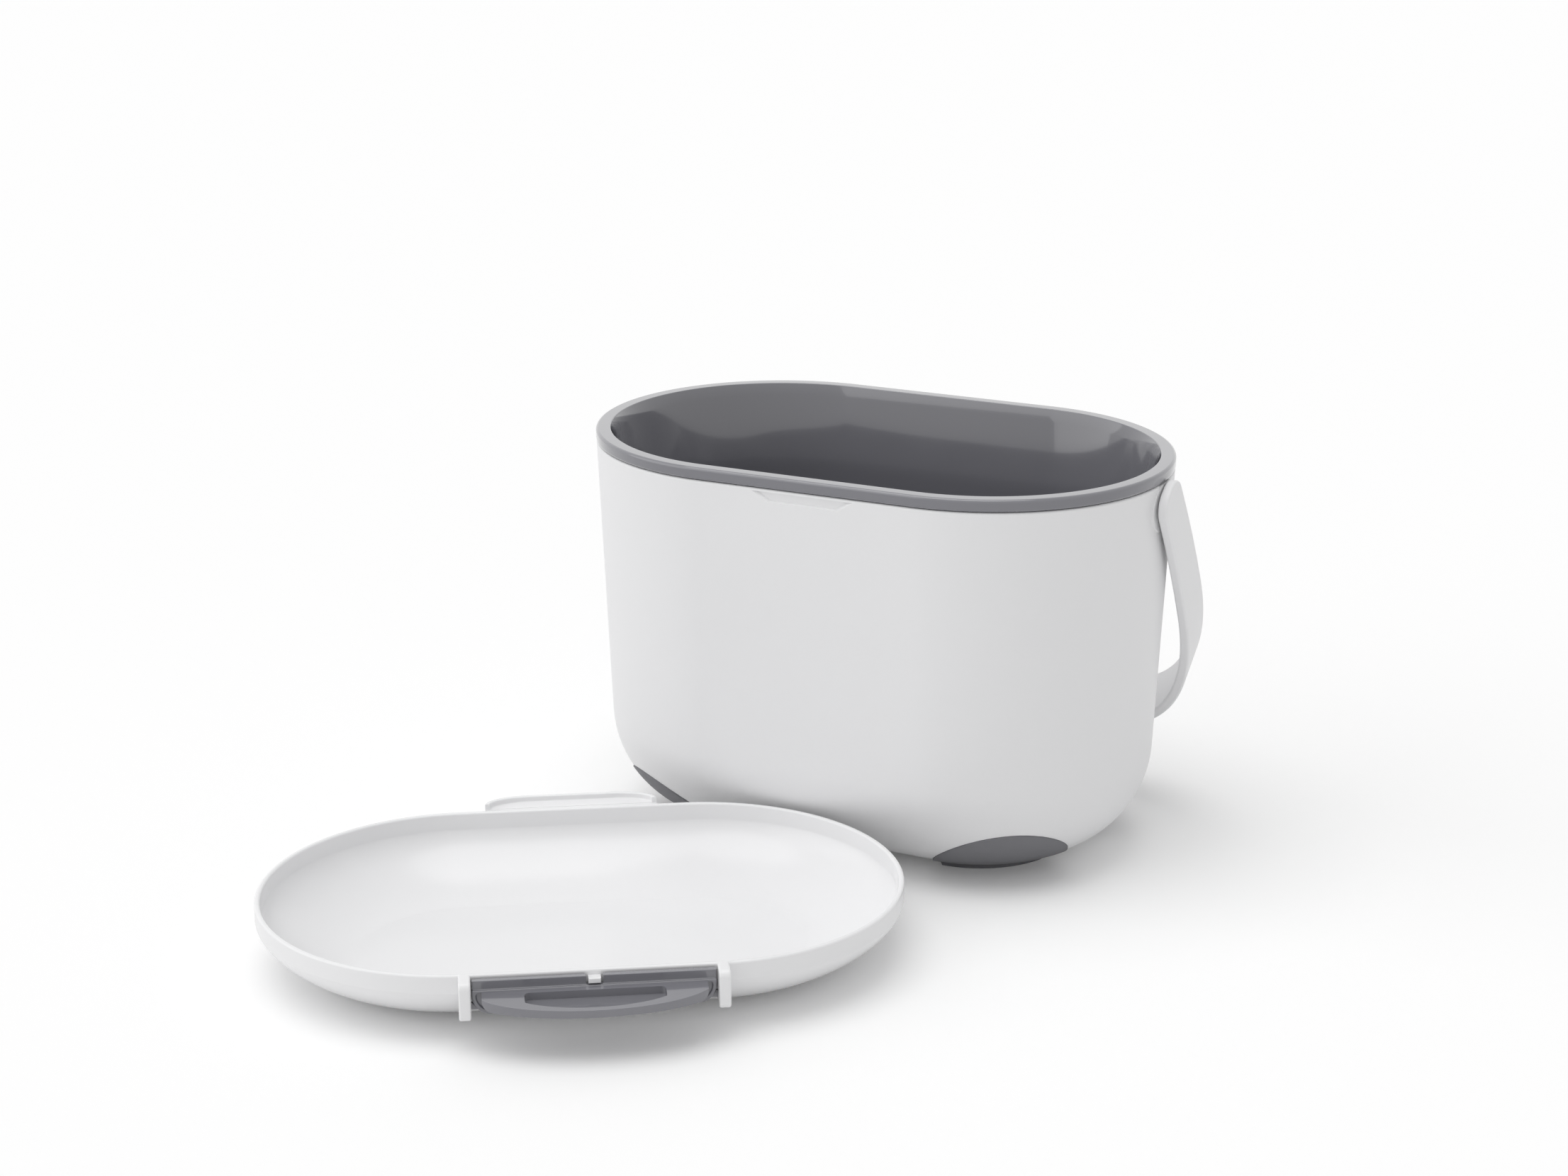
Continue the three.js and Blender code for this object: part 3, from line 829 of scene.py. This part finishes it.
# One moulded cap of glossy white plastic, lying upside down with its flat crown on the table.
# A finger tab with a raised ledge stands off the back of its skirt, and two ears at the front
# carry the latch, with a small nub between its strips.
LID_PROUD = 0.8
LID_HALF = LINER_HALF + LID_PROUD
LID_HEIGHT = 29
LID_SKIRT = 7
LID_CROWN_INSET = 38
LID_CROWN_POWER = 1.5
LID_WALL = 2.2
LID_NOSE = 0.9
HOLLOW_SHARE = 0.6
TAB_WIDTH = 71
TAB_REACH = 9.6
TAB_CORNER_ACROSS = 18
TAB_CORNER_OUT = 8.6
TAB_THICKNESS = 2.4
TAB_LEDGE_HEIGHT = 2.3
TAB_LEDGE_WIDTH = 1.9
TAB_EDGE = 0.6
TAB_RIM_ROOM = 0.93
TAB_RIM_SINK = 0.11
LATCH_WIDTH = 89.2
LATCH_PLATE = 2.8
LATCH_SIDE_GAP = 0.4
LATCH_PIVOT_RADIUS = 1.5
LATCH_PIVOT_RISE = 17.4
LATCH_PIN_REACH = 2.2
LATCH_HEEL_RADIUS = 2.6
EAR_THICKNESS = 4.5
EAR_REACH = 7.4
EAR_DROP = 15
EAR_ROUND = 2
EAR_SHOULDER = 2.6
EAR_EDGE = 0.8
NUB_WIDTH = 4.6
NUB_DROP = 2.1
NUB_HEIGHT = 2.1
NUB_ROUND = 0.5
LATCH_GAP = 0.6
LID_FRONT = -LID_HALF
EAR_INNER = LATCH_WIDTH / 2 + LATCH_SIDE_GAP
LATCH_BACK = LID_FRONT - LATCH_GAP
LATCH_FRONT = LATCH_BACK - LATCH_PLATE
LATCH_PIVOT_Y = LATCH_FRONT + LATCH_HEEL_RADIUS
EAR_FRONT = LATCH_BACK - EAR_REACH
LID_PLACE = (-47.5, -177.63, -FOOT_DROP)
LID_TURN = math.radians(32.4)


def lid_rows(offset, steps=32):
    """The lid's crown from its flat top on the table to its skirt, moved inwards."""
    rows = []
    for step in range(steps + 1):
        turn = QUARTER * step / steps
        level = 1 - max(math.cos(turn), 0) ** (2 / LID_CROWN_POWER)
        inset = 1 - math.sin(turn) ** (2 / LID_CROWN_POWER)
        height = offset + (LID_HEIGHT - LID_SKIRT - offset) * level
        rows.append((LID_HALF - offset - (LID_CROWN_INSET - offset) * inset, height))
    return rows


def round_edges(piece, test, offset, segments=4):
    """Rounds the edges between the corners whose place passes a test."""
    edit(piece)
    choose(piece, test)
    bpy.ops.mesh.bevel(offset=offset, segments=segments)
    leave_edit()


def lay_lid(piece):
    """Turns a piece that was made round the lid's middle and moves it to the lid's place."""
    piece.rotation_euler.z = LID_TURN
    piece.location = LID_PLACE
    settle(piece)


lid_white = moulded(
    "lid_gloss_white",
    tint(239, 239, 240),
    roughness=0.22,
    sheen_spread=0.06,
    grain_size=0.0007,
    grain_depth=0.000002,
    swell_depth=0.0006,
)

lid = turned(
    "lid_cap",
    lid_rows(0)
    + nose_rows(LID_HALF, LID_HALF - LID_WALL, LID_HEIGHT, LID_NOSE, LID_NOSE)
    + lid_rows(LID_WALL)[::-1],
    spread=STRAIGHT_HALF,
)
hollow_inset = LID_WALL * HOLLOW_SHARE
hollow = turned(
    "hollow",
    lid_rows(hollow_inset) + [(LID_HALF - hollow_inset, LID_HEIGHT * 2)],
    spread=STRAIGHT_HALF,
)
tab_end = LID_HALF + (TAB_REACH + TAB_CORNER_ACROSS - TAB_CORNER_OUT)
tab = block(
    "tab",
    (-TAB_WIDTH / 2, LID_HALF - TAB_REACH, LID_HEIGHT - TAB_THICKNESS),
    (TAB_WIDTH / 2, tab_end, LID_HEIGHT + TAB_LEDGE_HEIGHT),
)
round_lines(
    tab,
    lambda a, b: abs(a.z - b.z) > APART and min(a.y, b.y) > tab_end - NEAR,
    TAB_CORNER_ACROSS,
    segments=16,
)
edit(tab)
choose(tab, lambda place: place.y > tab_end - TAB_CORNER_ACROSS - NEAR)
bpy.ops.transform.resize(
    value=(1, TAB_CORNER_OUT / TAB_CORNER_ACROSS, 1),
    center_override=(0, tab_end - TAB_CORNER_ACROSS, 0),
)
choose(tab, lambda place: place.z > LID_HEIGHT)
bpy.ops.mesh.inset(thickness=TAB_LEDGE_WIDTH)
bpy.ops.mesh.extrude_region_move(
    TRANSFORM_OT_translate={"value": (0, 0, -TAB_LEDGE_HEIGHT)}
)
leave_edit()
soften(tab, TAB_EDGE)
over_rim = block(
    "over_rim",
    (-TAB_WIDTH, -OVERRUN, LID_HEIGHT - TAB_RIM_SINK),
    (TAB_WIDTH, LID_HALF + TAB_RIM_ROOM, LID_HEIGHT * 2),
)
combine(tab, over_rim, "DIFFERENCE")
trim(tab)
combine(tab, hollow, "DIFFERENCE", keep=True)
combine(lid, tab, "UNION")
for side in (1, -1):
    near, far = sorted((side * EAR_INNER, side * (EAR_INNER + EAR_THICKNESS)))
    ear = block(
        "ear",
        (near, EAR_FRONT, LID_HEIGHT - EAR_DROP),
        (far, LID_FRONT + LID_CROWN_INSET, LID_HEIGHT),
    )
    round_edges(
        ear,
        lambda place: place.y < EAR_FRONT + NEAR and place.z > LID_HEIGHT - NEAR,
        EAR_SHOULDER,
        segments=8,
    )
    round_edges(
        ear,
        lambda place: place.y < EAR_FRONT + NEAR and place.z < LID_HEIGHT - EAR_DROP + NEAR,
        EAR_ROUND,
        segments=8,
    )
    soften(ear, EAR_EDGE)
    combine(ear, hollow, "DIFFERENCE", keep=True)
    pin_hole = rod(
        "pin_hole",
        LATCH_PIVOT_RADIUS + RUNNING_GAP,
        side * (EAR_INNER - OVERRUN),
        side * (EAR_INNER + LATCH_PIN_REACH - LATCH_SIDE_GAP + RUNNING_GAP),
        LATCH_PIVOT_Y,
        LATCH_PIVOT_RISE,
        turns=32,
    )
    combine(ear, pin_hole, "DIFFERENCE")
    combine(lid, ear, "UNION")
nub = block(
    "nub",
    (-NUB_WIDTH / 2, LATCH_FRONT, LID_HEIGHT - NUB_DROP - NUB_HEIGHT),
    (NUB_WIDTH / 2, LID_FRONT + LID_WALL / 2, LID_HEIGHT - NUB_DROP),
)
round_edges(nub, lambda place: place.y < LATCH_FRONT + NEAR, NUB_ROUND)
combine(lid, nub, "UNION")
bpy.data.objects.remove(hollow)
lay_lid(lid)
hand_over(lid, lid_white)
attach(lid, "lid_body")
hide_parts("lid")

# Latch

# One moulded plate of glossy grey plastic that snaps between the lid's ears on two pins. Two
# strips along its edge hook under the bucket's catch, and a crescent pull with a round-ended
# pocket stands out from its front.
LATCH_TOP_DROP = 1.1
LATCH_TOP = LID_HEIGHT - LATCH_TOP_DROP
LATCH_HEEL = LATCH_PIVOT_RISE - LATCH_HEEL_RADIUS
LATCH_EDGE = 0.4
STRIP_GAP = 6.1
PLATE_FOOT_ROUND = 7
PLATE_BORDER = 1.5
PLATE_SINK = 1
SINK_TOP_DROP = 0.7
SINK_TOP_ROUND = 1
PULL_END_INSET = 1.1
PULL_REACH = 15
PULL_ROOT_DROP = 5.2
PULL_DROP = 2.5
PULL_THICKNESS = 3
PULL_ROOT_THICKNESS = 4.6
PULL_EDGE = 0.7
PULL_TIP = 41.2
PULL_TIP_ROUND = 3
COVE_REACH = 1.8
COVE_RISE = 0.4
STRIP_TOP_THICKNESS = 2.3
STRIP_FOOT_THICKNESS = 1.8
SLOT_WIDTH = 51.5
SLOT_REACH = 11.2
SLOT_BOW_HALF = 32.5
SLOT_START = 1.8
SLOT_DEPTH = 3.1
SLOT_FRONT_DEPTH = 0.5
SLOT_ROUND = 1.9
PULL_HALF = LATCH_WIDTH / 2 - PULL_END_INSET
ROOT_TOP = LID_HEIGHT - PULL_ROOT_DROP


def bowed(name, half, reach, height):
    """An upright oval round the middle of the latch's front, from the lid's crown up."""
    bpy.ops.object.select_all(action="DESELECT")
    bpy.ops.mesh.primitive_cylinder_add(
        vertices=160,
        radius=1,
        depth=height,
        location=(0, LATCH_FRONT, height / 2),
        scale=(half, reach, 1),
    )
    piece = bpy.context.object
    piece.name = name
    settle(piece)
    return piece


latch_grey = moulded(
    "latch_gloss_grey",
    tint(122, 122, 128),
    roughness=0.16,
    sheen_spread=0.06,
    grain_size=0.0006,
    grain_depth=0.000003,
    swell_depth=0.0004,
    coat=1.0,
)

latch = block(
    "latch_plate",
    (-LATCH_WIDTH / 2, LATCH_FRONT, LATCH_HEEL),
    (LATCH_WIDTH / 2, LATCH_BACK, ROOT_TOP + COVE_RISE),
)
for side in (1, -1):
    round_edges(
        latch,
        lambda place: place.x * side > LATCH_WIDTH / 2 - NEAR and place.z < LATCH_HEEL + NEAR,
        PLATE_FOOT_ROUND,
        segments=12,
    )
for side in (1, -1):
    near, far = sorted((side * STRIP_GAP / 2, side * LATCH_WIDTH / 2))
    strip = block(
        "strip",
        (near, LATCH_BACK - STRIP_TOP_THICKNESS, ROOT_TOP),
        (far, LATCH_BACK, LATCH_TOP),
    )
    edit(strip)
    choose(strip, lambda place: place.y < LATCH_BACK - APART and place.z < LATCH_TOP - APART)
    bpy.ops.transform.translate(value=(0, STRIP_TOP_THICKNESS - STRIP_FOOT_THICKNESS, 0))
    leave_edit()
    combine(latch, strip, "UNION")
sink = block(
    "sink",
    (PLATE_BORDER - LATCH_WIDTH / 2, LATCH_FRONT - OVERRUN, LATCH_HEEL + PLATE_BORDER),
    (LATCH_WIDTH / 2 - PLATE_BORDER, LATCH_FRONT + PLATE_SINK, ROOT_TOP - SINK_TOP_DROP),
)
round_lines(
    sink,
    lambda a, b: abs(a.y - b.y) > APART and max(a.z, b.z) < LATCH_HEEL + PLATE_BORDER + NEAR,
    PLATE_FOOT_ROUND - PLATE_BORDER,
    segments=10,
)
round_lines(
    sink,
    lambda a, b: abs(a.y - b.y) > APART and min(a.z, b.z) > ROOT_TOP - SINK_TOP_DROP - NEAR,
    SINK_TOP_ROUND,
)
combine(latch, sink, "DIFFERENCE")
soften(latch, LATCH_EDGE)
trim(latch)

pull = block(
    "pull",
    (-PULL_TIP, LATCH_FRONT - PULL_REACH, ROOT_TOP - PULL_ROOT_THICKNESS),
    (PULL_TIP, LATCH_FRONT + LATCH_PLATE / 2, ROOT_TOP),
)
edit(pull)
choose(pull, lambda place: place.y < LATCH_FRONT - APART and place.z > ROOT_TOP - APART)
bpy.ops.transform.translate(value=(0, 0, -PULL_DROP))
choose(
    pull,
    lambda place: place.y < LATCH_FRONT - APART and place.z < ROOT_TOP - PULL_DROP - APART,
)
bpy.ops.transform.translate(value=(0, 0, PULL_ROOT_THICKNESS - PULL_DROP - PULL_THICKNESS))
bpy.ops.mesh.select_all(action="SELECT")
bpy.ops.mesh.bisect(plane_co=(0, LATCH_FRONT - COVE_REACH, 0), plane_no=(0, 1, 0))
choose(pull, lambda place: place.y > LATCH_FRONT and place.z > ROOT_TOP - APART)
bpy.ops.transform.translate(value=(0, 0, COVE_RISE))
leave_edit()
round_lines(
    pull,
    lambda a, b: min(abs(a.x), abs(b.x)) > PULL_TIP - NEAR
    and a.x * b.x > 0
    and max(a.z, b.z) < ROOT_TOP - PULL_DROP - PULL_THICKNESS / 2,
    PULL_TIP_ROUND,
    segments=10,
)
combine(pull, bowed("pull_bow", PULL_HALF, PULL_REACH, LID_HEIGHT), "INTERSECT")
soften(pull, PULL_EDGE, segments=4, above=45)

slot_far = SLOT_START + SLOT_REACH
pocket = block(
    "pocket",
    (-SLOT_WIDTH / 2, LATCH_FRONT - slot_far, ROOT_TOP - PULL_DROP - SLOT_FRONT_DEPTH),
    (SLOT_WIDTH / 2, LATCH_FRONT - SLOT_START, ROOT_TOP + OVERRUN),
)
combine(pocket, bowed("slot_bow", SLOT_BOW_HALF, slot_far, LID_HEIGHT * 2), "INTERSECT")
round_lines(
    pocket,
    lambda a, b: abs(a.z - b.z) > APART and abs(a.x) > SLOT_WIDTH / 2 - NEAR,
    SLOT_ROUND,
    segments=10,
)
surface_drop = PULL_DROP / PULL_REACH
for corner in pocket.data.vertices:
    if corner.co.z < ROOT_TOP:
        reach = LATCH_FRONT - corner.co.y
        along = (reach - SLOT_START) / SLOT_REACH
        depth = SLOT_DEPTH + (SLOT_FRONT_DEPTH - SLOT_DEPTH) * along
        corner.co.z = ROOT_TOP - surface_drop * reach - depth
combine(pull, pocket, "DIFFERENCE")
trim(pull)
combine(latch, pull, "UNION")
pins = rod(
    "pins",
    LATCH_PIVOT_RADIUS,
    -LATCH_WIDTH / 2 - LATCH_PIN_REACH,
    LATCH_WIDTH / 2 + LATCH_PIN_REACH,
    LATCH_PIVOT_Y,
    LATCH_PIVOT_RISE,
    turns=32,
)
combine(latch, pins, "UNION")
lay_lid(latch)
hand_over(latch, latch_grey)
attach(latch, "latch_body")
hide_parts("latch")

# Table, light and camera

# A plain white table that keeps the caddy's shadows, a plain white world, one broad soft light
# from nearly straight above, a weaker one from the front left, and the camera at the
# photograph's angle.
TABLE_SIZE = 12
TABLE_TONE = 0.92
TABLE_LIFT = 0.085
WORLD_LIGHT = 0.58
WHITE = (1, 1, 1, 1)

bpy.ops.object.select_all(action="DESELECT")
bpy.ops.mesh.primitive_plane_add(size=TABLE_SIZE, location=(0, 0, -FOOT_DROP * MILLIMETRE))
table = bpy.context.object
table.name = "table"
table_white = Finish(bpy.data.materials.new("table_white"))
ray = table_white.node("ShaderNodeLightPath", output="Is Camera Ray")
matt = table_white.node("ShaderNodeBsdfDiffuse", sockets={"Color": [TABLE_TONE] * 3 + [1]})
lift = table_white.node(
    "ShaderNodeEmission", sockets={"Color": WHITE, "Strength": ray * TABLE_LIFT}
)
both = table_white.node("ShaderNodeAddShader", sockets={0: matt, 1: lift})
table_white.node("ShaderNodeOutputMaterial", sockets={"Surface": both})
table.data.materials.append(table_white.owner)

studio = Finish(bpy.data.worlds.new("studio"))
bpy.context.scene.world = studio.owner
camera_ray, glossy_ray, transmission_ray = (
    studio.node("ShaderNodeLightPath", output=f"Is {kind} Ray")
    for kind in ("Camera", "Glossy", "Transmission")
)
seen = camera_ray.larger(glossy_ray.larger(transmission_ray))
sky = studio.node(
    "ShaderNodeBackground",
    sockets={"Color": WHITE, "Strength": seen * (1 - WORLD_LIGHT) + WORLD_LIGHT},
)
studio.node("ShaderNodeOutputWorld", sockets={"Surface": sky})


def soft_light(name, place, spread, strength):
    """A broad far light from the side that a place lies on, as wide as its spread in degrees."""
    bpy.ops.object.select_all(action="DESELECT")
    bpy.ops.object.light_add(type="SUN", location=place)
    light = bpy.context.object
    light.name = name
    light.data.angle = math.radians(spread)
    light.data.energy = strength
    light.rotation_euler = (-Vector(place)).to_track_quat("-Z", "Y").to_euler()


soft_light("light_above", (-0.12, -0.12, 1), spread=50, strength=1.0)
soft_light("light_front_left", (-0.8, -0.6, 0.5), spread=60, strength=0.62)

CAMERA_AZIMUTH = math.radians(25.546)
CAMERA_ELEVATION = math.radians(17.655)
CAMERA_TARGET = Vector((-0.04521, 0, 0.09649))
CAMERA_DISTANCE = 1.29505
CAMERA_LENS = 68.657
CAMERA_SENSOR = 36
back = Vector(
    (
        math.sin(CAMERA_AZIMUTH) * math.cos(CAMERA_ELEVATION),
        -math.cos(CAMERA_AZIMUTH) * math.cos(CAMERA_ELEVATION),
        math.sin(CAMERA_ELEVATION),
    )
)
bpy.ops.object.select_all(action="DESELECT")
bpy.ops.object.camera_add(
    location=CAMERA_TARGET + back * CAMERA_DISTANCE,
    rotation=(-back).to_track_quat("-Z", "Y").to_euler(),
)
camera = bpy.context.object
camera.data.lens = CAMERA_LENS
camera.data.sensor_width = CAMERA_SENSOR
bpy.context.scene.camera = camera
bpy.context.scene.view_settings.view_transform = "Standard"
